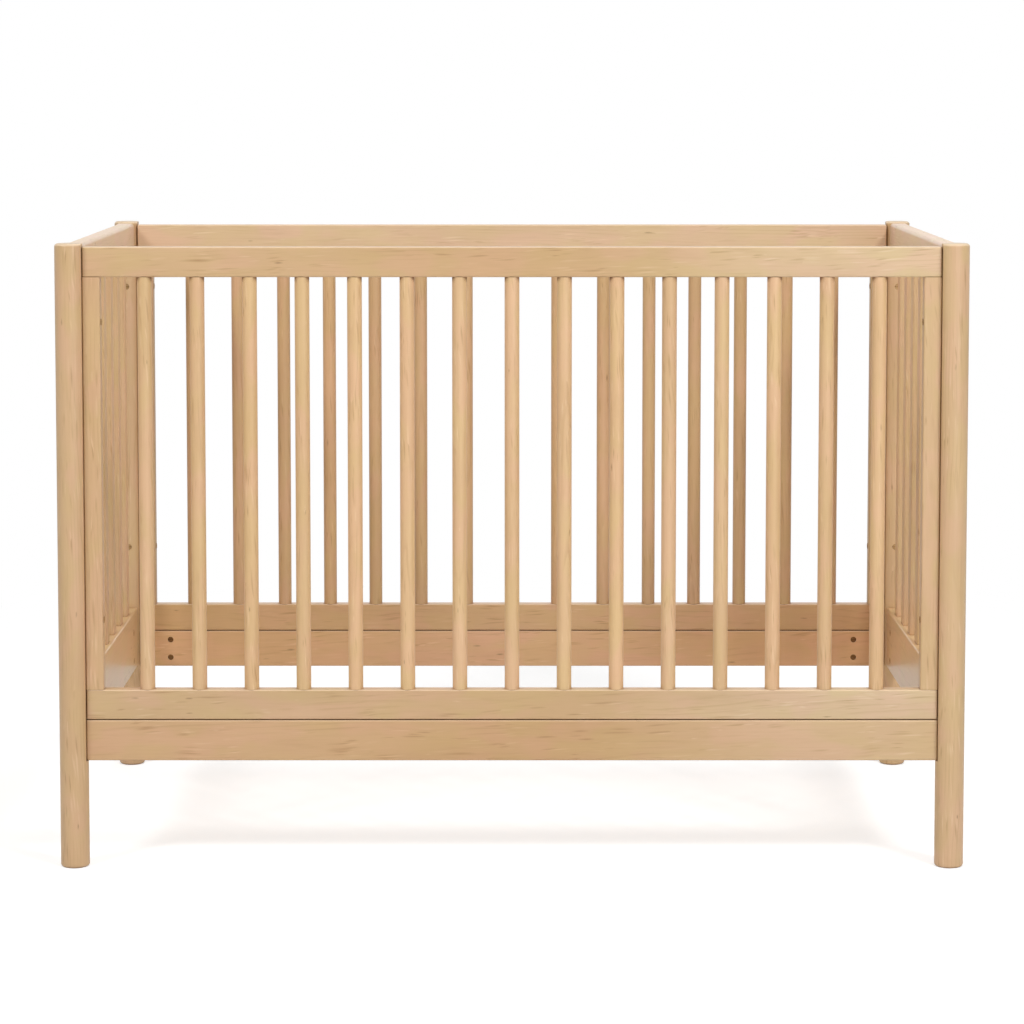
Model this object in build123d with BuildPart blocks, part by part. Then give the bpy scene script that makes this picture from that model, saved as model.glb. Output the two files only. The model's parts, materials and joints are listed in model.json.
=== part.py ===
from build123d import *
import os

# Full-size baby crib in solid wood, bolted together from two glued slatted ends, two spindle
# panels and two aprons. Millimetres; X runs along the crib, Y from front to back, Z up. The origin
# is on the floor, under the middle of the crib.

# --- driving dimensions -------------------------------------------------------------------
inner_length = 1333.0          # along X between the flats of the posts
inner_width = 711.0            # along Y between the front and back panels
total_height = 979.0
board = 23.0                   # thickness of the long rails, stiles and aprons
edge_round = 2.5               # eased edges of boards
joint_gap = 1.2                # open line between a bottom rail and its apron
rail_clearance = 0.8           # a long rail stops this short of the post, so the stile clamps

post_radius = 22.5
post_flat = 19.5               # from a post's axis to the flat that the panels seat on
foot_round = 4.5
head_round = 5.0

rail_height = 47.0
long_rail_top = 973.5          # top of the front and back top rails
apron_height = 64.0
bottom_rail_floor = {"front": 233.0, "back": 245.5}
stile_width = 28.0

end_board = 28.0               # thickness of the end rails, centred on the posts
end_bottom_rail_floor = 180.5
end_bottom_rail_height = 105.5
end_top_rail_drop = 3.0        # the post heads stand this far above the end top rails
end_rail_round = 3.0           # along the edges of a bottom rail and under a top rail
end_top_round = 6.0            # along the top edges of an end top rail
tip_setback = 7.0              # an end rail's hidden tips stop this short of the posts' axes
outer_flare = 6.0              # how far an end rail widens outwards where it meets a post
outer_flare_length = 45.0

spindle_radius = 11.5
spindle_pitch = 81.5
spindle_count = 15
tenon_radius = 7.0
tenon_length = 16.0

slat_count = 7                 # flat slats between the rails of each end
slat_width = 34.0
slat_thickness = 11.0
slat_setback = 7.0             # from an end rail's inner face to the slats' inner faces
slat_round = 2.0
slat_housing = 12.0            # how far a slat's end is let into each rail
fit_clearance = 0.1            # clearance all round tenons, slats, dowels and nuts in their holes
hole_end_room = 1.0            # a blind hole runs this far past the end of what it holds
nut_end_room = 0.5             # past the end of a barrel nut or a threaded insert
bolt_end_room = 2.5            # past the tip of a bolt
cutter_overrun = 1.0           # a cutter starts this far outside the face that it opens

bolt_radius = 3.0
bolt_hole_radius = 3.25
bolt_head_radius = 5.0
bolt_head_height = 6.0
counterbore_radius = 5.5
hex_key = 5.0                  # across flats of the socket in a bolt head
hex_depth = 3.0
stile_bolt_length = 50.0
stile_counterbore = 5.0
stile_bolt_heights = {"front": (389.0, 856.0), "back": (396.5, 863.5)}
apron_bolt_length = 95.0
apron_counterbore = 10.5       # from the post's outermost line to the bolt head's seat
apron_bolt_rise = 16.0         # above and below the middle of the apron
apron_nut_reach = 53.5         # from the apron's end to its barrel nuts

nut_radius = 5.0
nut_bore = 3.05
post_nut_length = 24.0
apron_nut_length = 18.0
slot_width = 1.4
slot_depth = 1.2

insert_radius = 4.5
insert_flange_radius = 5.5
insert_flange = 1.0
insert_length = 15.0
insert_bore = 2.5
insert_spread = 300.0          # from the middle of the end, along Y
insert_heights = (200.0, 250.0)

dowel_radius = 4.0
stile_dowel_length = 40.0
end_dowel_length = 50.0
end_top_dowel_heights = (944.0, 965.0)
end_bottom_dowel_heights = (206.0, 243.0, 272.0)

# --- places worked out from them ----------------------------------------------------------
sides = {"front": -1, "back": 1}
ends = {"left": -1, "right": 1}
flat_x = inner_length / 2
post_x = flat_x + post_flat
post_y = inner_width / 2 + post_flat
panel_y = inner_width / 2 + board / 2
stile_x = flat_x - stile_width / 2
long_rail_floor = long_rail_top - rail_height
end_top_rail_top = total_height - end_top_rail_drop
end_top_rail_floor = end_top_rail_top - rail_height
end_bottom_rail_top = end_bottom_rail_floor + end_bottom_rail_height
end_inner_x = post_x - end_board / 2
end_outer_x = post_x + end_board / 2
slat_x = end_inner_x + slat_setback + slat_thickness / 2
post_front = post_y - post_radius          # the posts' surfaces that face along the ends
slat_pitch = (2 * post_front + slat_width) / (slat_count + 1)
bottom_rail_top = {side: floor + rail_height for side, floor in bottom_rail_floor.items()}
apron_top = {side: floor - joint_gap for side, floor in bottom_rail_floor.items()}
apron_floor = {side: top - apron_height for side, top in apron_top.items()}
apron_bolt_heights = {
    side: (floor + apron_height / 2 - apron_bolt_rise, floor + apron_height / 2 + apron_bolt_rise)
    for side, floor in apron_floor.items()
}
apron_nut_x = flat_x - apron_nut_reach
apron_bolt_seat = post_x + post_radius - apron_counterbore
stile_bolt_seat = flat_x - stile_width + stile_counterbore
end_dowel_heights = end_top_dowel_heights + end_bottom_dowel_heights
dowel_hole_radius = dowel_radius + fit_clearance
nut_hole_radius = nut_radius + fit_clearance


def row(count, pitch):
    """Even places along a line, centred on zero."""
    return [(index - (count - 1) / 2) * pitch for index in range(count)]


def both_ways(distance, heights):
    """Places at minus and plus a distance, at each of the heights."""
    return [(sign * distance, height) for sign in (-1, 1) for height in heights]


def bars_x(places, radius, x_from, x_to, mode=Mode.ADD):
    """Round bars, or holes, along X at places given as (y, z)."""
    with BuildSketch(Plane.YZ.offset((x_from + x_to) / 2)) as section:
        with Locations(*places):
            Circle(radius)
    extrude(section.sketch, amount=abs(x_to - x_from) / 2, both=True, mode=mode)


def bars_y(places, radius, y_from, y_to, mode=Mode.ADD):
    """Round bars, or holes, along Y at places given as (x, z)."""
    with BuildSketch(Plane.XZ.offset(-(y_from + y_to) / 2)) as section:
        with Locations(*places):
            Circle(radius)
    extrude(section.sketch, amount=abs(y_to - y_from) / 2, both=True, mode=mode)


def bars_z(places, radius, z_from, z_to, mode=Mode.ADD):
    """Round bars, or holes, along Z at places given as (x, y)."""
    with BuildSketch(Plane.XY.offset(z_from)) as section:
        with Locations(*places):
            Circle(radius)
    extrude(section.sketch, amount=z_to - z_from, mode=mode)


def slat_bars(end, z_from, z_to, clearance=0.0, mode=Mode.ADD):
    """The upright slats of an end between two heights, or with a clearance, their housings."""
    with BuildSketch(Plane.XY.offset(z_from)) as section:
        with Locations(*[(ends[end] * slat_x, y) for y in row(slat_count, slat_pitch)]):
            RectangleRounded(slat_thickness + 2 * clearance, slat_width + 2 * clearance,
                             slat_round + clearance)
    extrude(section.sketch, amount=z_to - z_from, mode=mode)


def save(piece, name):
    """Label a finished piece and write its STEP file."""
    piece.label = name
    export_step(piece, f"parts/{name}.step")


# --- the ends: posts and end rails --------------------------------------------------------
def post_flats(end, floor, top):
    """Slab of air inside the flats of an end's two posts, to cut from them."""
    sign = ends[end]
    with BuildPart() as air:
        with BuildSketch(Plane.XY.offset(floor)):
            with Locations((sign * (flat_x - post_radius), 0)):
                Rectangle(2 * post_radius, 2 * (post_y + 2 * post_radius))
        extrude(amount=top - floor)
    return air.part


def post_stretch(end, floor, top):
    """The stretch of an end's two posts between two heights, to cope a rail over."""
    with BuildPart() as stretch:
        bars_z([(ends[end] * post_x, y) for y in (post_y, -post_y)], post_radius, floor, top)
        add(post_flats(end, floor, top), mode=Mode.SUBTRACT)
    return stretch.part


def end_rail(end, floor, top, top_round, dowel_heights):
    """End rail that widens outwards at the posts, coped over them and drilled for dowels."""
    sign = ends[end]
    inner_tip = (sign * end_inner_x, post_y - tip_setback)
    outer_tip = (sign * (end_outer_x + outer_flare), post_y - tip_setback)
    with BuildPart() as rail:
        with BuildSketch(Plane.XY.offset(floor)):
            with BuildLine():
                Polyline((sign * end_inner_x, 0), inner_tip, (sign * post_x, post_y), outer_tip)
                flare = TangentArc(
                    (sign * end_outer_x, outer_tip[1] - outer_flare_length), outer_tip, tangent=(0, 1)
                )
                Line(flare @ 0, (sign * end_outer_x, 0))
                mirror(about=Plane.XZ)
            make_face()
        extrude(amount=top - floor)
        fillet(rail.faces().sort_by(Axis.Z)[-1].edges(), top_round)
        fillet(rail.faces().sort_by(Axis.Z)[0].edges(), end_rail_round)
        add(post_stretch(end, floor, top), mode=Mode.SUBTRACT)
        places = [(sign * post_x, height) for height in dowel_heights]
        for side in sides.values():
            inner_end = side * (post_front - end_dowel_length / 2 - hole_end_room)
            bars_y(places, dowel_hole_radius, inner_end, side * post_y, mode=Mode.SUBTRACT)
    return rail.part


os.makedirs("parts", exist_ok=True)

insert_places = both_ways(insert_spread, insert_heights)

for end, sign in ends.items():
    with BuildPart() as end_top_rail:
        add(end_rail(end, end_top_rail_floor, end_top_rail_top, end_top_round, end_top_dowel_heights))
        slat_bars(end, end_top_rail_floor, end_top_rail_floor + slat_housing + hole_end_room,
                  clearance=fit_clearance, mode=Mode.SUBTRACT)
    save(end_top_rail.part, f"{end}_end_top_rail")

    with BuildPart() as end_bottom_rail:
        add(end_rail(end, end_bottom_rail_floor, end_bottom_rail_top, end_rail_round,
                     end_bottom_dowel_heights))
        slat_bars(end, end_bottom_rail_top - slat_housing - hole_end_room, end_bottom_rail_top,
                  clearance=fit_clearance, mode=Mode.SUBTRACT)
        bars_x(insert_places, insert_radius + fit_clearance, sign * end_inner_x,
               sign * (end_inner_x + insert_length + nut_end_room), mode=Mode.SUBTRACT)
        bars_x(insert_places, insert_flange_radius + fit_clearance, sign * end_inner_x,
               sign * (end_inner_x + insert_flange), mode=Mode.SUBTRACT)
    save(end_bottom_rail.part, f"{end}_end_bottom_rail")

    for side, y_sign in sides.items():
        x = sign * post_x
        y = y_sign * post_y
        bolt_line = y_sign * panel_y
        with BuildPart() as post:
            bars_z([(x, y)], post_radius, 0, total_height)
            fillet(post.edges().sort_by(Axis.Z)[0], foot_round)
            fillet(post.edges().sort_by(Axis.Z)[-1], head_round)
            add(post_flats(end, apron_floor[side], total_height), mode=Mode.SUBTRACT)

            stile_bolts_here = [(bolt_line, height) for height in stile_bolt_heights[side]]
            bars_x(stile_bolts_here, bolt_hole_radius, sign * flat_x,
                   sign * (stile_bolt_seat + stile_bolt_length + bolt_end_room), mode=Mode.SUBTRACT)
            stile_nuts_here = [(x, height) for height in stile_bolt_heights[side]]
            bars_y(stile_nuts_here, nut_hole_radius, y_sign * (post_front - cutter_overrun),
                   y_sign * (panel_y + post_nut_length / 2 + nut_end_room), mode=Mode.SUBTRACT)
            apron_bolts_here = [(bolt_line, height) for height in apron_bolt_heights[side]]
            bars_x(apron_bolts_here, bolt_hole_radius, sign * (flat_x - cutter_overrun),
                   sign * (apron_bolt_seat + cutter_overrun), mode=Mode.SUBTRACT)
            bars_x(apron_bolts_here, counterbore_radius, sign * apron_bolt_seat,
                   sign * (post_x + post_radius + cutter_overrun), mode=Mode.SUBTRACT)
            dowels_here = [(x, height) for height in end_dowel_heights]
            bars_y(dowels_here, dowel_hole_radius, y_sign * (post_front - cutter_overrun),
                   y_sign * (post_front + end_dowel_length / 2 + hole_end_room),
                   mode=Mode.SUBTRACT)
        save(post.part, f"{side}_{end}_post")


# --- the spindle panels and aprons --------------------------------------------------------
def eased_board(y, floor, height, half_length):
    """Straight board along X with all its edges eased."""
    with BuildPart() as plank:
        with BuildSketch(Plane.XY.offset(floor)):
            with Locations((0, y)):
                Rectangle(2 * half_length, board)
        extrude(amount=height)
        fillet(plank.edges(), edge_round)
    return plank.part


def panel_rail(side, floor, socket_from, socket_to):
    """Long rail of a panel with sockets for its spindles and stile dowels in one edge."""
    y = sides[side] * panel_y
    toward = 1 if socket_to > socket_from else -1
    with BuildPart() as rail:
        add(eased_board(y, floor, rail_height, flat_x - rail_clearance))
        bars_z([(x, y) for x in row(spindle_count, spindle_pitch)], tenon_radius + fit_clearance,
               socket_from, socket_to, mode=Mode.SUBTRACT)
        bars_z([(sign * stile_x, y) for sign in ends.values()], dowel_hole_radius,
               socket_from, socket_from + toward * (stile_dowel_length / 2 + hole_end_room),
               mode=Mode.SUBTRACT)
    return rail.part


def spindle(x, y, foot, head):
    """Straight round spindle with a turned tenon at each end."""
    with BuildPart() as turned:
        bars_z([(x, y)], spindle_radius, foot, head)
        bars_z([(x, y)], tenon_radius, foot - tenon_length, head + tenon_length)
    return turned.part


for side, y_sign in sides.items():
    y = y_sign * panel_y
    foot = bottom_rail_top[side]

    socket_depth = tenon_length + hole_end_room

    save(panel_rail(side, long_rail_floor, long_rail_floor, long_rail_floor + socket_depth),
         f"{side}_top_rail")
    save(panel_rail(side, bottom_rail_floor[side], foot, foot - socket_depth),
         f"{side}_bottom_rail")

    for number, x in enumerate(row(spindle_count, spindle_pitch), start=1):
        save(spindle(x, y, foot, long_rail_floor), f"{side}_spindle_{number:02d}")

    for end, sign in ends.items():
        with BuildPart() as stile:
            with BuildSketch(Plane.XY.offset(foot)):
                with Locations((sign * stile_x, y)):
                    RectangleRounded(stile_width, board, edge_round)
            extrude(amount=long_rail_floor - foot)
            bolts_here = [(y, height) for height in stile_bolt_heights[side]]
            bars_x(bolts_here, bolt_hole_radius, sign * (stile_bolt_seat - cutter_overrun),
                   sign * flat_x, mode=Mode.SUBTRACT)
            bars_x(bolts_here, counterbore_radius, sign * (stile_bolt_seat - stile_counterbore),
                   sign * stile_bolt_seat, mode=Mode.SUBTRACT)
            dowel_reach = stile_dowel_length / 2 + hole_end_room
            bars_z([(sign * stile_x, y)], dowel_hole_radius, foot, foot + dowel_reach,
                   mode=Mode.SUBTRACT)
            bars_z([(sign * stile_x, y)], dowel_hole_radius, long_rail_floor - dowel_reach,
                   long_rail_floor, mode=Mode.SUBTRACT)
        save(stile.part, f"{side}_{end}_stile")

    with BuildPart() as apron:
        add(eased_board(y, apron_floor[side], apron_height, flat_x))
        bolts_here = [(y, height) for height in apron_bolt_heights[side]]
        for sign in ends.values():
            bolt_tip = apron_bolt_seat - apron_bolt_length
            bars_x(bolts_here, bolt_hole_radius, sign * (bolt_tip - bolt_end_room),
                   sign * (flat_x + cutter_overrun), mode=Mode.SUBTRACT)
        nuts_here = both_ways(apron_nut_x, apron_bolt_heights[side])
        bars_y(nuts_here, nut_hole_radius, y_sign * (inner_width / 2 - cutter_overrun),
               y_sign * (panel_y + apron_nut_length / 2 + nut_end_room), mode=Mode.SUBTRACT)
    save(apron.part, f"{side}_apron")

for end in ends:
    with BuildPart() as end_slats:
        slat_bars(end, end_bottom_rail_top - slat_housing, end_top_rail_floor + slat_housing)
    save(end_slats.part, f"{end}_end_slats")


# --- fasteners ----------------------------------------------------------------------------
def socket_head_bolts(places, sign, seat, length):
    """Bolts along X: the head stands on the seat, and the shank runs on by sign times length."""
    bars_x(places, bolt_radius, seat, seat + sign * length)
    head_end = seat - sign * bolt_head_height
    bars_x(places, bolt_head_radius, head_end, seat)
    with BuildSketch(Plane.YZ.offset(head_end)) as socket:
        with Locations(*places):
            RegularPolygon(hex_key / 2, 6, major_radius=False)
    extrude(socket.sketch, amount=hex_depth, both=True, mode=Mode.SUBTRACT)


def barrel_nuts(places, y_sign, face, length):
    """Slotted barrel nuts along Y, with their cross bore on the panel's middle plane."""
    bars_y(places, nut_radius, y_sign * face, y_sign * (face + length))
    with BuildSketch(Plane.XZ.offset(-y_sign * face)) as slot:
        with Locations(*places):
            Rectangle(2 * (nut_radius + cutter_overrun), slot_width)
    extrude(slot.sketch, amount=slot_depth, both=True, mode=Mode.SUBTRACT)


with BuildPart() as stile_bolts:
    for side, y_sign in sides.items():
        places = [(y_sign * panel_y, height) for height in stile_bolt_heights[side]]
        for sign in ends.values():
            socket_head_bolts(places, sign, sign * stile_bolt_seat, stile_bolt_length)
save(stile_bolts.part, "stile_bolts")

with BuildPart() as apron_bolts:
    for side, y_sign in sides.items():
        places = [(y_sign * panel_y, height) for height in apron_bolt_heights[side]]
        for sign in ends.values():
            socket_head_bolts(places, -sign, sign * apron_bolt_seat, apron_bolt_length)
save(apron_bolts.part, "apron_bolts")

with BuildPart() as post_barrel_nuts:
    for side, y_sign in sides.items():
        places = both_ways(post_x, stile_bolt_heights[side])
        barrel_nuts(places, y_sign, panel_y - post_nut_length / 2, post_nut_length)
        bores = [(y_sign * panel_y, height) for height in stile_bolt_heights[side]]
        bars_x(bores, nut_bore, -post_x - nut_radius, post_x + nut_radius, mode=Mode.SUBTRACT)
save(post_barrel_nuts.part, "post_barrel_nuts")

with BuildPart() as apron_barrel_nuts:
    for side, y_sign in sides.items():
        places = both_ways(apron_nut_x, apron_bolt_heights[side])
        barrel_nuts(places, y_sign, panel_y - apron_nut_length / 2, apron_nut_length)
        bores = [(y_sign * panel_y, height) for height in apron_bolt_heights[side]]
        bars_x(bores, nut_bore, -apron_nut_x - nut_radius, apron_nut_x + nut_radius, mode=Mode.SUBTRACT)
save(apron_barrel_nuts.part, "apron_barrel_nuts")

with BuildPart() as support_inserts:
    for sign in ends.values():
        mouth = sign * end_inner_x
        insert_end = sign * (end_inner_x + insert_length)
        bars_x(insert_places, insert_radius, mouth, insert_end)
        bars_x(insert_places, insert_flange_radius, mouth, sign * (end_inner_x + insert_flange))
        bars_x(insert_places, insert_bore, mouth, insert_end, mode=Mode.SUBTRACT)
save(support_inserts.part, "support_inserts")

with BuildPart() as stile_dowels:
    for side, y_sign in sides.items():
        places = [(sign * stile_x, y_sign * panel_y) for sign in ends.values()]
        for joint in (bottom_rail_top[side], long_rail_floor):
            bars_z(places, dowel_radius, joint - stile_dowel_length / 2, joint + stile_dowel_length / 2)
save(stile_dowels.part, "stile_dowels")

with BuildPart() as end_rail_dowels:
    places = both_ways(post_x, end_dowel_heights)
    for y_sign in sides.values():
        bars_y(places, dowel_radius, y_sign * (post_front - end_dowel_length / 2),
               y_sign * (post_front + end_dowel_length / 2))
save(end_rail_dowels.part, "end_rail_dowels")
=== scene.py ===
import math
import json
import random

import bpy
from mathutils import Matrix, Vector


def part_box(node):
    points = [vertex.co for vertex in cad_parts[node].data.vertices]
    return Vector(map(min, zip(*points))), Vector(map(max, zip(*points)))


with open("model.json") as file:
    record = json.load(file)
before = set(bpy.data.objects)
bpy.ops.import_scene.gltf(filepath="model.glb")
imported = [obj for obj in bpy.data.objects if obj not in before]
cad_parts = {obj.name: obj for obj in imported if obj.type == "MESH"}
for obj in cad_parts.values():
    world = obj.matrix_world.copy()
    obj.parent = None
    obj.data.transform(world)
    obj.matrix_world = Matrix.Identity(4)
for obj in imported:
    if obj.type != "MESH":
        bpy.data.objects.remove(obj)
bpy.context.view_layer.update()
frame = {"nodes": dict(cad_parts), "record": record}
nodes = frame["nodes"]

# --- camera ---------------------------------------------------------------------------------
camera_distance = 5.288        # from the middle of the crib to the lens, in metres
camera_height = 1.2367
camera_tilt = 0.08             # radians below the horizon
camera_lens = 111.73           # focal length in millimetres
camera_sensor = 36.0           # width in millimetres
camera_shift = -0.1768         # moves the frame down, so that the uprights stay near upright
camera_reach = 60.0            # metres, past the far floor


def make_camera():
    """Camera in front of the crib, a little above its rails, with its frame shifted down."""
    lens = bpy.data.cameras.new("studio_camera")
    lens.sensor_width = camera_sensor
    lens.lens = camera_lens
    lens.shift_y = camera_shift
    lens.clip_end = camera_reach
    camera = bpy.data.objects.new("studio_camera", lens)
    camera.location = (0.0, -camera_distance, camera_height)
    camera.rotation_euler = (math.pi / 2 - camera_tilt, 0.0, 0.0)
    bpy.context.scene.collection.objects.link(camera)
    bpy.context.scene.camera = camera


# --- small helpers for node trees -----------------------------------------------------------
class Tree:
    """Adds nodes to a node tree, with values or links given by socket."""

    def __init__(self, tree):
        self.tree = tree

    def node(self, kind, sockets=None, **settings):
        """A new node of a kind, with its properties from settings.

        The sockets are its inputs, by name or index: a socket is linked, and a value is set.
        """
        made = self.tree.nodes.new(kind)
        for key, value in settings.items():
            setattr(made, key, value)
        for key, value in (sockets or {}).items():
            if isinstance(value, bpy.types.NodeSocket):
                self.put(value, made.inputs[key])
            else:
                made.inputs[key].default_value = value
        return made

    def put(self, value, socket):
        """Links an output to an input."""
        self.tree.links.new(value, socket)

    def placed(self, group, sockets):
        """The outputs of a shared group that is placed in this tree."""
        return self.node("ShaderNodeGroup", sockets, node_tree=group).outputs

    def math(self, operation, *values, clamp=False):
        """The result of a Math node on one to three values or sockets."""
        sockets = dict(enumerate(values))
        return self.node("ShaderNodeMath", sockets, operation=operation, use_clamp=clamp).outputs[0]

    def vector(self, operation, *values):
        """The result of a Vector Math node: a number for LENGTH, and a vector for the others."""
        made = self.node("ShaderNodeVectorMath", dict(enumerate(values)), operation=operation)
        return made.outputs["Value" if operation == "LENGTH" else "Vector"]

    def axis(self, vector, letter):
        """One of the three numbers of a vector, by its letter X, Y or Z."""
        return self.node("ShaderNodeSeparateXYZ", {0: vector}).outputs[letter]

    def noise(self, place, scale, detail=2.0, roughness=0.5):
        """Smooth noise from 0 to 1 at a place that is stretched by a scale along each axis."""
        stretched = self.vector("MULTIPLY", place, scale)
        sockets = {"Vector": stretched, "Scale": 1.0, "Detail": detail, "Roughness": roughness}
        return self.node("ShaderNodeTexNoise", sockets).outputs["Fac"]

    def blend(self, share, first, second):
        """A number that goes from the first to the second as the share goes from 0 to 1."""
        made = self.node("ShaderNodeMix", {"Factor": share, "A": first, "B": second})
        return made.outputs["Result"]

    def drift(self, place, scale, reach):
        """Smooth noise as a small sideways move, up to half the reach each way along each axis."""
        stretched = self.vector("MULTIPLY", place, scale)
        swirl = self.node("ShaderNodeTexNoise", {"Vector": stretched, "Scale": 1.0}).outputs["Color"]
        return self.vector("MULTIPLY", self.vector("SUBTRACT", swirl, (0.5, 0.5, 0.5)), reach)

    def ellipses(self, place, scale, size, share):
        """Masks of long soft spots about scattered points, one spot to a few cells of the scale.

        A spot fades evenly with the distance from its point, in cells, to nothing at its size.
        The first mask has one share of the spots, and the second has another as large.
        """
        stretched = self.vector("MULTIPLY", place, scale)
        points = self.node("ShaderNodeTexVoronoi", {"Vector": stretched, "Scale": 1.0}).outputs
        chance = self.node("ShaderNodeSeparateColor", {0: points["Color"]}).outputs
        reach = self.smooth(chance["Green"], 0.0, 1.0, 0.5 * size, size)
        near = self.math("SUBTRACT", 1.0, self.math("DIVIDE", points["Distance"], reach), clamp=True)
        first = self.math("MULTIPLY", near, self.math("GREATER_THAN", chance["Red"], 1.0 - share))
        second = self.math("MULTIPLY", near, self.math("LESS_THAN", chance["Red"], share))
        return first, second

    def smooth(self, value, low, high, to_low=0.0, to_high=1.0):
        """A smooth step from to_low at low to to_high at high."""
        made = self.node("ShaderNodeMapRange", {
            "Value": value, "From Min": low, "From Max": high, "To Min": to_low, "To Max": to_high,
        }, interpolation_type="SMOOTHSTEP")
        return made.outputs["Result"]

    def mix(self, share, first, second, blend="MIX"):
        """A mix of two colours, whose sockets on the Mix node are 6 and 7."""
        sockets = {0: share, 6: first, 7: second}
        return self.node("ShaderNodeMix", sockets, data_type="RGBA", blend_type=blend).outputs[2]


def new_group(name, inputs, outputs):
    """An empty shader node group with named sockets, given as name: (kind, default)."""
    group = bpy.data.node_groups.new(name, "ShaderNodeTree")
    for label, (kind, default) in inputs.items():
        socket = group.interface.new_socket(label, in_out="INPUT", socket_type=kind)
        if default is not None:
            socket.default_value = default
    for label, kind in outputs.items():
        group.interface.new_socket(label, in_out="OUTPUT", socket_type=kind)
    start = group.nodes.new("NodeGroupInput")
    end = group.nodes.new("NodeGroupOutput")
    return group, Tree(group), start.outputs, end.inputs


def new_material(name):
    """A material with an empty node tree, and that tree."""
    material = bpy.data.materials.new(name)
    material.use_nodes = True
    material.node_tree.nodes.clear()
    return material, Tree(material.node_tree)


def colour(red, green, blue):
    """A linear colour from one written in the usual 0 to 255 steps."""
    def linear(step):
        share = step / 255
        return share / 12.92 if share <= 0.04045 else ((share + 0.055) / 1.055) ** 2.4
    return (linear(red), linear(green), linear(blue), 1.0)


white = (1.0, 1.0, 1.0, 1.0)

# --- colours and measures of the wood -------------------------------------------------------
maple_yellow = colour(211, 178, 131)
maple_tan = colour(212, 176, 134)
maple_pink = colour(216, 176, 139)
# painted sheen, for the pale strokes and glints
maple_pale = colour(230, 200, 162)
ring_brown = colour(176, 136, 92)
fleck_brown = colour(128, 88, 50)
# painted sheen on faces across the grain
end_sheen = colour(216, 188, 150)
# painted highlight on rounded upper edges
edge_highlight_pale = colour(244, 218, 184)
# painted shade in joints and narrow gaps
painted_shade_brown = colour(110, 54, 8)

tree_spread = 20               # metres, each way, that a board's place in its tree may be moved
pith_distances = (0.05, 0.11)  # metres from a board to the middle of its tree
grain_leans = (0.01, 0.035)    # slope of a tree's axis against its board
board_lifts = (0.975, 1.025)   # how dark or pale a board may be beside its look
board_warmth = 0.012           # how far its red may rise or fall
blue_fall = 1.6                # how much more its blue falls or rises

ring_spacing = 0.0055          # metres from ring to ring
crease_reach = 0.0036          # how near another face paints shade on a board, in metres
spindle_crease_reach = 0.010   # a spindle stands under a rail, whose shadow is painted on its sides
board_crease_power = 1.6
spindle_crease_heights = (0.5, 0.8)     # metres, between which the rail's painted shadow on a spindle grows
spindle_crease_shares = (0.3, 0.95)     # of it below and above them
painted_shade_depth = 0.85            # how far the deepest joint is painted towards the shade brown
crease_dullness = 0.45         # how much rougher it is
shade_samples = 4

lacquer_ior = 1.45
lacquer_coat_roughness = 0.28
fibre_strength = 0.1           # of the bump
fibre_height = 0.0002          # metres

slat_width = 0.034
slats_per_end = 7
darkest_slat = 0.9             # its tone, beside the palest slat's
slat_inner_painted_light = (1.26, 1.28, 1.36, 1.0)   # painted light, on faces towards the middle of the crib

# The tone of a node's board beside the others, as red, green and blue, and its lacquer's gloss.
# Some tones hold painted light, marked below. A board takes the first look whose words are in
# its name.
board_looks = {
    "back_top_rail": ((1.15, 1.24, 1.40), 0.4),
    "back_bottom_rail": ((1.06, 1.01, 0.89), 0.4),
    "back_apron": ((1.21, 1.16, 1.10), 0.2),
    "back_spindle": ((1.03, 1.00, 0.96), 0.3),
    "front_top_rail": ((0.98, 0.99, 0.99), 0.3),
    "front_bottom_rail": ((0.98, 0.99, 1.00), 0.3),
    "front_apron": ((0.97, 0.94, 0.92), 0.3),
    "spindle": ((1.14, 1.14, 1.12), 0.3),
    "right_stile": ((1.00, 1.02, 1.02), 0.3),
    "front_right_post": ((1.03, 1.05, 1.06), 0.3),
    # painted sheen: the end top rails are lifted pale and whitish
    "end_top_rail": ((1.31, 1.48, 1.90), 0.3),
    # painted light: the end bottom rails are lifted paler, in place of light on their inner faces
    "end_bottom_rail": ((1.38, 1.42, 1.38), 0.9),
    "end_slats": ((1.03, 1.04, 1.04), 0.07),
}
plain_look = ((1.0, 1.0, 1.0), 0.3)

# The long boards whose tone drifts from the left end, with the tone of each panel's boards at the
# middle and at the right end beside it. The drift is painted light and shade: a paler, whiter
# sheen towards the right of the front, and light and shade along the back.
drifting_boards = (
    "front_top_rail", "front_bottom_rail", "front_apron", "back_bottom_rail", "back_apron",
)
to_middle = (-0.45, 0.0)       # metres along the crib, between which the tone turns
to_right = (0.05, 0.5)
panel_drifts = {
    "front": ((0.95, 0.93, 0.87), (1.07, 1.16, 1.27)),
    "back": ((1.06, 1.06, 1.17), (0.92, 0.85, 0.84)),
}

# Turns of the Mapping node that bring each run of the grain onto X.
grain_turns = {
    "x": (0.0, 0.0, 0.0),
    "y": (0.0, 0.0, -math.pi / 2),
    "z": (0.0, math.pi / 2, 0.0),
}


def grain_run(name):
    """The axis that a wooden node's grain runs along."""
    if any(word in name for word in ("post", "stile", "spindle", "slats")):
        return "z"
    if name.startswith(("left_end", "right_end")) or name == "end_rail_dowels":
        return "y"
    return "x"


def board_look(name):
    """The tone and gloss of a wooden node's board."""
    for word, look in board_looks.items():
        if word in name:
            return look
    return plain_look


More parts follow.
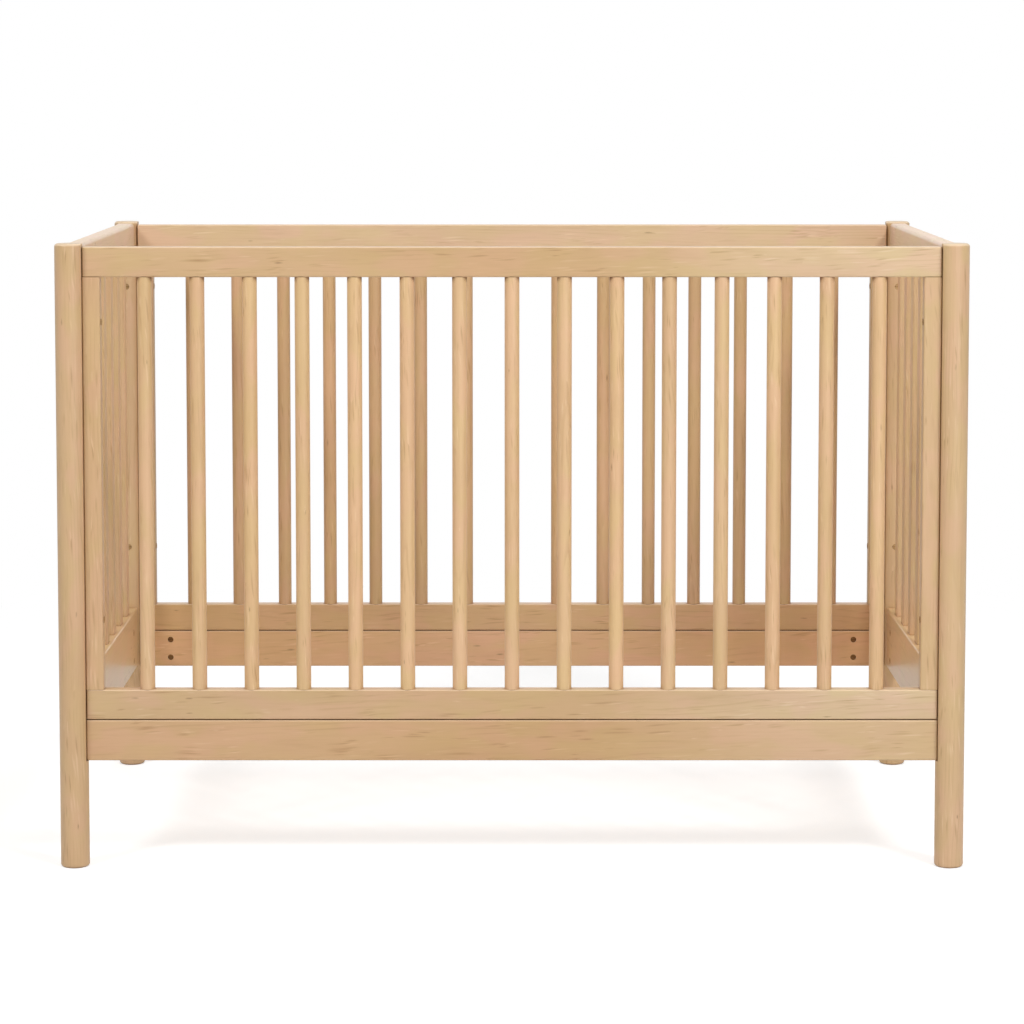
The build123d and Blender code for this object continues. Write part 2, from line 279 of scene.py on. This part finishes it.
# --- groups that the wood's materials share -------------------------------------------------
def make_maple_group():
    """Planed maple in a frame whose X runs along the grain, in metres.

    Rings are even steps of the distance from a tree axis that leans against the board, which
    draws long arches on its faces. They fade in and out with noise. Patches of yellow and pink,
    streaks and fibres are noise stretched along X. Strokes and flecks are long ellipses about
    scattered points: strokes are wide and faint, dark or pale, and flecks are small and brown,
    with small pale glints. The pale strokes and the glints are painted sheen. Faces across the
    grain are paler, also a painted sheen.
    """
    group, wood, given, out = new_group(
        "planed_maple",
        {
            "Place": ("NodeSocketVector", None),
            "Facing": ("NodeSocketVector", None),
            "Pith": ("NodeSocketVector", (0.0, 0.07, 0.05)),
            "Lean": ("NodeSocketFloat", 0.02),
            "Tint": ("NodeSocketColor", white),
        },
        {"Color": "NodeSocketColor", "Roughness": "NodeSocketFloat", "Height": "NodeSocketFloat"},
    )
    place = given["Place"]
    along = wood.axis(place, "X")

    # rings
    wander = wood.drift(place, (3.0, 12.0, 12.0), (0.0, 0.024, 0.024))
    from_pith = wood.vector("ADD", wood.vector("ADD", place, given["Pith"]), wander)
    radius = wood.vector("LENGTH", wood.vector("MULTIPLY", from_pith, (0.0, 1.0, 1.0)))
    radius = wood.math("MULTIPLY_ADD", along, given["Lean"], radius)
    ragged = wood.noise(place, (26.0, 120.0, 120.0), detail=3.0)
    steps = wood.math("MULTIPLY_ADD", ragged, 0.22, wood.math("DIVIDE", radius, ring_spacing))
    phase = wood.math("FRACT", steps)
    rise = wood.smooth(phase, 0.6, 0.94)
    fall = wood.smooth(phase, 0.94, 1.0, 1.0, 0.0)
    ring = wood.math("MULTIPLY", rise, fall)
    strength = wood.smooth(wood.noise(place, (7.0, 34.0, 34.0)), 0.5, 0.66)
    ring = wood.math("MULTIPLY", ring, wood.math("MULTIPLY_ADD", strength, 0.9, 0.06))

    # fibres, streaks and patches
    fibre = wood.noise(place, (16.0, 900.0, 900.0), detail=3.0)
    streak = wood.noise(
        wood.vector("ADD", place, wander), (12.0, 120.0, 120.0), detail=2.0, roughness=0.6)
    patch = wood.noise(place, (10.0, 24.0, 24.0), detail=1.5)
    blush = wood.noise(wood.vector("ADD", place, (3.1, 1.7, 5.3)), (12.0, 26.0, 26.0), detail=1.0)
    depth = wood.noise(wood.vector("ADD", place, (9.2, 4.4, 2.6)), (3.5, 14.0, 14.0), detail=1.5)

    # strokes and flecks
    run = wood.node("ShaderNodeCombineXYZ", {"Y": along, "Z": along}).outputs["Vector"]
    slope = wood.vector("MULTIPLY", run, (0.0, 0.06, -0.05))
    bend = wood.vector("ADD", slope, wood.drift(place, (7.0, 30.0, 30.0), (0.02, 0.016, 0.016)))
    dark_stroke, pale_stroke = wood.ellipses(
        wood.vector("ADD", place, bend), (16.0, 300.0, 300.0), 0.6, share=0.3)
    where = wood.smooth(wood.noise(place, (7.0, 24.0, 24.0), detail=1.0), 0.42, 0.6, 0.15, 1.0)
    dark_stroke = wood.math("MULTIPLY", dark_stroke, where)
    pale_stroke = wood.math("MULTIPLY", pale_stroke, where)
    jitter = wood.drift(place, (60.0, 260.0, 260.0), (0.006, 0.003, 0.003))
    fleck, glint = wood.ellipses(
        wood.vector("ADD", place, jitter), (24.0, 110.0, 110.0), 0.22, share=0.06)

    # the colour, from the ground tones to the finest marks
    shade = wood.mix(wood.smooth(patch, 0.34, 0.62), maple_yellow, maple_tan)
    shade = wood.mix(wood.smooth(blush, 0.46, 0.66, 0.0, 0.85), shade, maple_pink)
    shade = wood.mix(wood.smooth(depth, 0.35, 0.7, 0.0, 0.16), shade, ring_brown)
    shade = wood.mix(wood.math("MULTIPLY", ring, 0.28), shade, ring_brown)
    shade = wood.mix(wood.smooth(streak, 0.5, 0.8, 0.0, 0.16), shade, ring_brown)
    shade = wood.mix(wood.smooth(fibre, 0.45, 0.8, 0.0, 0.12), shade, ring_brown)
    # the pale strokes and glints are painted sheen; the dark strokes and flecks are marks of the wood
    for mask, share, tone in (
        (dark_stroke, 0.8, ring_brown),
        (pale_stroke, 0.5, maple_pale),
        (glint, 0.5, maple_pale),
        (fleck, 0.7, fleck_brown),
    ):
        shade = wood.mix(wood.math("MULTIPLY", mask, share), shade, tone)
    # painted sheen on faces across the grain
    across = wood.math("ABSOLUTE", wood.axis(given["Facing"], "X"))
    end_grain = wood.smooth(across, 0.35, 0.95)
    shade = wood.mix(wood.math("MULTIPLY", end_grain, 0.7), shade, end_sheen)
    wood.put(wood.mix(1.0, shade, given["Tint"], blend="MULTIPLY"), out["Color"])

    wood.put(wood.math("MULTIPLY_ADD", fibre, 0.16, 0.34), out["Roughness"])
    grain = wood.math("SUBTRACT", wood.math("MULTIPLY", fibre, 0.6), ring)
    wood.put(wood.math("SUBTRACT", grain, fleck), out["Height"])
    return group


def make_slat_group():
    """Tones of an end's slats, and a different whole number for each slat.

    The number is the place along the end in pitches, rounded, and it draws each slat's tone
    between the darkest and the palest. Faces towards the middle of the crib are lifted with
    painted light, which are those where X and the normal's X have different signs.
    """
    group, slat, given, out = new_group(
        "slat_tones",
        {
            "Place": ("NodeSocketVector", None),
            "Normal": ("NodeSocketVector", None),
            "Pitch": ("NodeSocketFloat", 0.1),
            "Darkest": ("NodeSocketColor", white),
            "Palest": ("NodeSocketColor", white),
        },
        {"Color": "NodeSocketColor", "Number": "NodeSocketFloat"},
    )
    along = slat.axis(given["Place"], "Y")
    number = slat.math("ROUND", slat.math("DIVIDE", along, given["Pitch"]))
    own = slat.node("ShaderNodeTexWhiteNoise", {"W": number}, noise_dimensions="1D").outputs["Color"]
    tone = slat.mix(own, given["Darkest"], given["Palest"])
    # painted light: faces towards the middle of the crib are paler
    outward = slat.math("MULTIPLY", slat.axis(given["Place"], "X"), slat.axis(given["Normal"], "X"))
    inward = slat.smooth(outward, -0.6, -0.3, 1.0, 0.0)
    slat.put(slat.mix(inward, tone, slat_inner_painted_light, blend="MULTIPLY"), out["Color"])
    slat.put(number, out["Number"])
    return group


def make_light_drift_group():
    """A long board's slow drift of painted light and shade: plain at its left end, then one tone, then
    another.
    """
    group, board, given, out = new_group(
        "light_drift",
        {
            "Place": ("NodeSocketVector", None),
            "Tone": ("NodeSocketColor", white),
            "Middle": ("NodeSocketColor", white),
            "Right": ("NodeSocketColor", white),
        },
        {"Color": "NodeSocketColor"},
    )
    along = board.axis(given["Place"], "X")
    drift = board.mix(board.smooth(along, *to_middle), white, given["Middle"])
    drift = board.mix(board.smooth(along, *to_right), drift, given["Right"])
    board.put(board.mix(1.0, given["Tone"], drift, blend="MULTIPLY"), out["Color"])
    return group


def make_crease_shade_group():
    """How much painted shade a point gets in a joint or a narrow gap, from the share of it that is open.

    On a board it is a power of the share that is shut. On a spindle it is a smooth step of
    that share, faint near the floor and full under the top rail, where it paints the rail's shadow.
    """
    group, gap, given, out = new_group(
        "joint_crease_shades",
        {"Open": ("NodeSocketFloat", 1.0), "Place": ("NodeSocketVector", None)},
        {"Board": "NodeSocketFloat", "Spindle": "NodeSocketFloat"},
    )
    shut = gap.math("SUBTRACT", 1.0, given["Open"], clamp=True)
    gap.put(gap.math("POWER", shut, board_crease_power), out["Board"])
    # the top rail's painted shadow on a spindle's upper part
    height = gap.axis(given["Place"], "Z")
    under_rail = gap.smooth(height, *spindle_crease_heights, *spindle_crease_shares)
    gap.put(gap.math("MULTIPLY", gap.smooth(shut, 0.06, 0.38), under_rail), out["Spindle"])
    return group


def make_painted_light_group():
    """Lacquered wood with painted light at its edges and painted shade in its joints.

    Rounded edges, whose normal points between level and straight up, get a painted highlight
    by the share given. Joints get painted shade, browner the deeper the crease, and are also
    rougher there and lose their gloss.
    """
    group, painted_light, given, out = new_group(
        "edges_and_joints",
        {
            "Color": ("NodeSocketColor", white),
            "Roughness": ("NodeSocketFloat", 0.4),
            "Normal": ("NodeSocketVector", None),
            "Highlight": ("NodeSocketFloat", 1.0),
            "Crease": ("NodeSocketFloat", 0.0),
            "Gloss": ("NodeSocketFloat", 0.3),
        },
        {"Color": "NodeSocketColor", "Roughness": "NodeSocketFloat", "Coat": "NodeSocketFloat"},
    )
    # painted highlight on rounded edges that face upwards
    upward = painted_light.axis(given["Normal"], "Z")
    edge = painted_light.smooth(upward, 0.2, 0.6, 0.0, given["Highlight"])
    edge_highlight = painted_light.math("MULTIPLY", edge, painted_light.smooth(upward, 0.8, 1.0, 0.6, 0.0))
    shade = painted_light.mix(edge_highlight, given["Color"], edge_highlight_pale)
    # painted shade in joints, browner the deeper the crease
    brown = painted_light.math("MULTIPLY", given["Crease"], painted_shade_depth)
    rough = painted_light.math("MULTIPLY_ADD", given["Crease"], crease_dullness, given["Roughness"])
    painted_light.put(painted_light.mix(brown, shade, painted_shade_brown), out["Color"])
    painted_light.put(rough, out["Roughness"])
    painted_light.put(painted_light.smooth(given["Crease"], 0.0, 1.0, given["Gloss"], 0.0), out["Coat"])
    return group


# --- the wood -------------------------------------------------------------------------------
def make_maple(name, shared, draw):
    """A node's own maple: the shared grain, cut from its own place in its own tree.

    Its tone is its board's look with a small lift and warmth of its own. Each slat of an end
    has another tone and another place in the tree, with painted light on its inner faces, and
    some long boards carry a painted drift of light and shade. Joints and narrow gaps get painted
    shade and are duller, and rounded upper edges get a painted highlight, apart from the ends'
    edges.
    """
    material, tree = new_material(f"maple_{name}")
    turn = grain_turns[grain_run(name)]
    spot = tree.node("ShaderNodeTexCoord").outputs
    offset = [draw.uniform(-tree_spread, tree_spread) for _ in range(3)]
    place = tree.node("ShaderNodeMapping", {
        "Vector": spot["Object"], "Location": offset, "Rotation": turn,
    }).outputs["Vector"]
    facing = tree.node("ShaderNodeMapping", {
        "Vector": spot["Normal"], "Rotation": turn,
    }, vector_type="NORMAL").outputs["Vector"]
    tilt = draw.uniform(0, 2 * math.pi)
    pith_distance = draw.uniform(*pith_distances)
    tone, gloss = board_look(name)
    lift = draw.uniform(*board_lifts)
    warmth = draw.uniform(-board_warmth, board_warmth)
    red, green, blue = (lift * part for part in tone)
    tint = (red * (1 + warmth), green, blue * (1 - blue_fall * warmth), 1.0)
    if name.endswith("end_slats"):
        low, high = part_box(name)
        slats = tree.placed(shared["slats"], {
            "Place": spot["Object"],
            "Normal": spot["Normal"],
            "Pitch": (high.y - low.y - slat_width) / (slats_per_end - 1),
            "Darkest": (*(darkest_slat * part for part in tone), 1.0),
            "Palest": (*tone, 1.0),
        })
        apart = tree.node("ShaderNodeCombineXYZ", {"X": slats["Number"]}).outputs["Vector"]
        place = tree.vector("ADD", place, apart)
        tint = slats["Color"]
    if name in drifting_boards:
        middle, right = panel_drifts[name.split("_")[0]]
        tint = tree.placed(shared["drift"], {
            "Place": spot["Object"], "Tone": tint, "Middle": (*middle, 1.0), "Right": (*right, 1.0),
        })["Color"]
    pith = (0.0, pith_distance * math.cos(tilt) - offset[1], pith_distance * math.sin(tilt) - offset[2])
    grain = tree.placed(shared["maple"], {
        "Place": place,
        "Facing": facing,
        "Pith": pith,
        "Lean": draw.choice((-1, 1)) * draw.uniform(*grain_leans),
        "Tint": tint,
    })
    round_bar = "spindle" in name
    reach = spindle_crease_reach if round_bar else crease_reach
    # painted shade in joints and narrow gaps, from ambient occlusion
    open_share = tree.node("ShaderNodeAmbientOcclusion", {"Distance": reach}, samples=shade_samples)
    creases = tree.placed(shared["creases"], {"Open": open_share.outputs["AO"], "Place": spot["Object"]})
    finish = tree.placed(shared["painted_light"], {
        "Color": grain["Color"],
        "Roughness": grain["Roughness"],
        "Normal": spot["Normal"],
        # painted highlight on upper edges, left off on the ends' boards
        "Highlight": 0.0 if "end_" in name else 1.0,
        "Crease": creases["Spindle" if round_bar else "Board"],
        "Gloss": gloss,
    })
    bump = tree.node("ShaderNodeBump", {
        "Height": grain["Height"], "Strength": fibre_strength, "Distance": fibre_height,
    })
    lacquer = tree.node("ShaderNodeBsdfPrincipled", {
        "Base Color": finish["Color"],
        "Roughness": finish["Roughness"],
        "Normal": bump.outputs["Normal"],
        "IOR": lacquer_ior,
        "Specular IOR Level": min(0.5, 2 * gloss),
        "Coat Weight": finish["Coat"],
        "Coat Roughness": lacquer_coat_roughness,
    })
    tree.node("ShaderNodeOutputMaterial", {"Surface": lacquer.outputs["BSDF"]})
    return material


# --- the hardware ---------------------------------------------------------------------------
bronze_brown = colour(184, 148, 102)
bronze_bright = colour(214, 178, 132)
# painted shade: in slots, in the gaps round a nut, and on the aprons' hardware
bronze_shade_brown = colour(100, 52, 12)
slot_reach = 0.003             # how near another face paints shade on the plating, in metres
mottle_scale = (700.0, 700.0, 700.0)    # spots to a metre
apron_bronze_shade = 0.65        # painted shade: the aprons' nuts and bolts, in the crib's shade, are browner than the others


def make_bronze_group():
    """Antique bronze plating: dull brown with soft mottling, a share of it darkened as painted shade.

    Slots and the gaps round a nut are darkened through, as painted shade.
    """
    group, plate, given, out = new_group(
        "bronze_plating",
        {
            "Place": ("NodeSocketVector", None),
            "Age": ("NodeSocketFloat", 0.0),
            "Open": ("NodeSocketFloat", 1.0),
        },
        {"Color": "NodeSocketColor", "Roughness": "NodeSocketFloat"},
    )
    mottle = plate.noise(given["Place"], mottle_scale, detail=3.0)
    tone = plate.mix(plate.smooth(mottle, 0.35, 0.7), bronze_brown, bronze_bright)
    tone = plate.mix(given["Age"], tone, bronze_shade_brown)
    # painted shade in slots and in the gaps round a nut
    crease = plate.smooth(given["Open"], 0.15, 0.75, 1.0, 0.0)
    plate.put(plate.mix(crease, tone, bronze_shade_brown), out["Color"])
    plate.put(plate.smooth(mottle, 0.2, 0.8, 0.36, 0.54), out["Roughness"])
    return group


def make_bronze(name, group, shade_share):
    """Bronze plated steel with a share of painted shade, from 0 for none to 1 for all brown."""
    material, tree = new_material(name)
    spot = tree.node("ShaderNodeTexCoord").outputs["Object"]
    open_share = tree.node("ShaderNodeAmbientOcclusion", {"Distance": slot_reach}, samples=shade_samples)
    plating = tree.placed(group, {"Place": spot, "Age": shade_share, "Open": open_share.outputs["AO"]})
    plate = tree.node("ShaderNodeBsdfPrincipled", {
        "Base Color": plating["Color"],
        "Metallic": 1.0,
        "Roughness": plating["Roughness"],
    })
    tree.node("ShaderNodeOutputMaterial", {"Surface": plate.outputs["BSDF"]})
    return material


def dress_all():
    """Every node's material: bronze for the hardware, its own piece of maple for the rest."""
    shared = {
        "maple": make_maple_group(),
        "slats": make_slat_group(),
        "drift": make_light_drift_group(),
        "creases": make_crease_shade_group(),
        "painted_light": make_painted_light_group(),
    }
    plating = make_bronze_group()
    bronze = make_bronze("antique_bronze", plating, 0.0)
    # painted shade on the aprons' hardware
    dark_bronze = make_bronze("shaded_bronze", plating, apron_bronze_shade)
    slots = {part["node"]: part["material_slot"] for part in frame["record"]["subparts"]}
    for name in sorted(nodes):
        mesh = nodes[name].data
        mesh.materials.clear()
        if slots[name] == "bronzed_steel":
            mesh.materials.append(dark_bronze if name.startswith("apron") else bronze)
        else:
            mesh.materials.append(make_maple(name, shared, random.Random(name)))


# --- studio ---------------------------------------------------------------------------------
light_aim = (0.0, 0.0, 0.5)    # the middle of the crib
softboxes = {                  # place, width in metres, power in watts
    "key_light": ((2.7, -3.4, 4.0), 1.0, 108.0),
    "fill_light": ((-3.0, -3.2, 3.5), 1.0, 81.0),
    "side_light": ((2.0, -4.2, 0.9), 2.0, 24.0),
    "top_light": ((0.0, 1.2, 4.0), 2.4, 26.0),
}
room_light = 0.35              # strength of the world's light on the crib
room_gloss_front = 0.5         # strength that gloss sees in front of the crib
room_gloss_behind = 1.0

floor_size = 40.0
floor_grey = (0.8, 0.8, 0.8, 1.0)
floor_glow = 0.5               # what the camera sees on top of the floor's own light
shadow_reach = 1.2             # from the middle of the crib, in metres
white_from = 2.4


def add_softbox(name, place, width, power):
    """A square soft light at a place, turned to face the crib."""
    lamp = bpy.data.lights.new(name, "AREA")
    lamp.shape = "SQUARE"
    lamp.size = width
    lamp.energy = power
    softbox = bpy.data.objects.new(name, lamp)
    softbox.location = place
    softbox.rotation_euler = (Vector(light_aim) - Vector(place)).to_track_quat("-Z", "Y").to_euler()
    bpy.context.scene.collection.objects.link(softbox)


def seen_directly(tree, rays):
    """1 for what the camera sees, straight or through something clear, and 0 for the rest."""
    return tree.math("MAXIMUM", rays["Is Camera Ray"], rays["Is Transmission Ray"])


def light_studio():
    """Soft lights in front of the crib and over it, in a room that the camera sees as plain white.

    The room lights the crib at an even level, and gloss sees it white behind and dimmer in front.
    """
    for name, (place, width, power) in softboxes.items():
        add_softbox(name, place, width, power)

    world = bpy.data.worlds.new("white_room")
    bpy.context.scene.world = world
    world.use_nodes = True
    world.node_tree.nodes.clear()
    room = Tree(world.node_tree)
    rays = room.node("ShaderNodeLightPath").outputs
    backward = room.axis(room.node("ShaderNodeTexCoord").outputs["Generated"], "Y")
    gloss = room.smooth(backward, -0.3, 0.3, room_gloss_front, room_gloss_behind)
    level = room.blend(rays["Is Glossy Ray"], room_light, gloss)
    level = room.blend(seen_directly(room, rays), level, 1.0)
    light = room.node("ShaderNodeBackground", {"Color": white, "Strength": level})
    room.node("ShaderNodeOutputWorld", {"Surface": light.outputs["Background"]})


def make_floor():
    """A wide pale floor that keeps the crib's soft shadow and turns plain white farther out.

    Only what looks straight at it sees the white: in the lacquer the floor is lit paper.
    """
    bpy.ops.mesh.primitive_plane_add(size=floor_size)
    floor = bpy.context.object
    floor.name = "studio_floor"
    material, tree = new_material("studio_floor")
    seen = seen_directly(tree, tree.node("ShaderNodeLightPath").outputs)
    paper = tree.node("ShaderNodeBsdfDiffuse", {"Color": floor_grey})
    glow = tree.node("ShaderNodeEmission", {"Strength": tree.math("MULTIPLY", seen, floor_glow)})
    both = tree.node("ShaderNodeAddShader", {0: paper.outputs[0], 1: glow.outputs[0]})
    plain = tree.node("ShaderNodeEmission", {"Strength": 1.0})
    spot = tree.node("ShaderNodeTexCoord").outputs["Object"]
    far = tree.smooth(tree.vector("LENGTH", spot), shadow_reach, white_from)
    share = tree.math("MULTIPLY", far, seen)
    surface = tree.node("ShaderNodeMixShader", {0: share, 1: both.outputs[0], 2: plain.outputs[0]})
    tree.node("ShaderNodeOutputMaterial", {"Surface": surface.outputs[0]})
    floor.data.materials.append(material)


make_camera()
light_studio()
make_floor()
dress_all()
bpy.context.scene.view_settings.view_transform = "Standard"
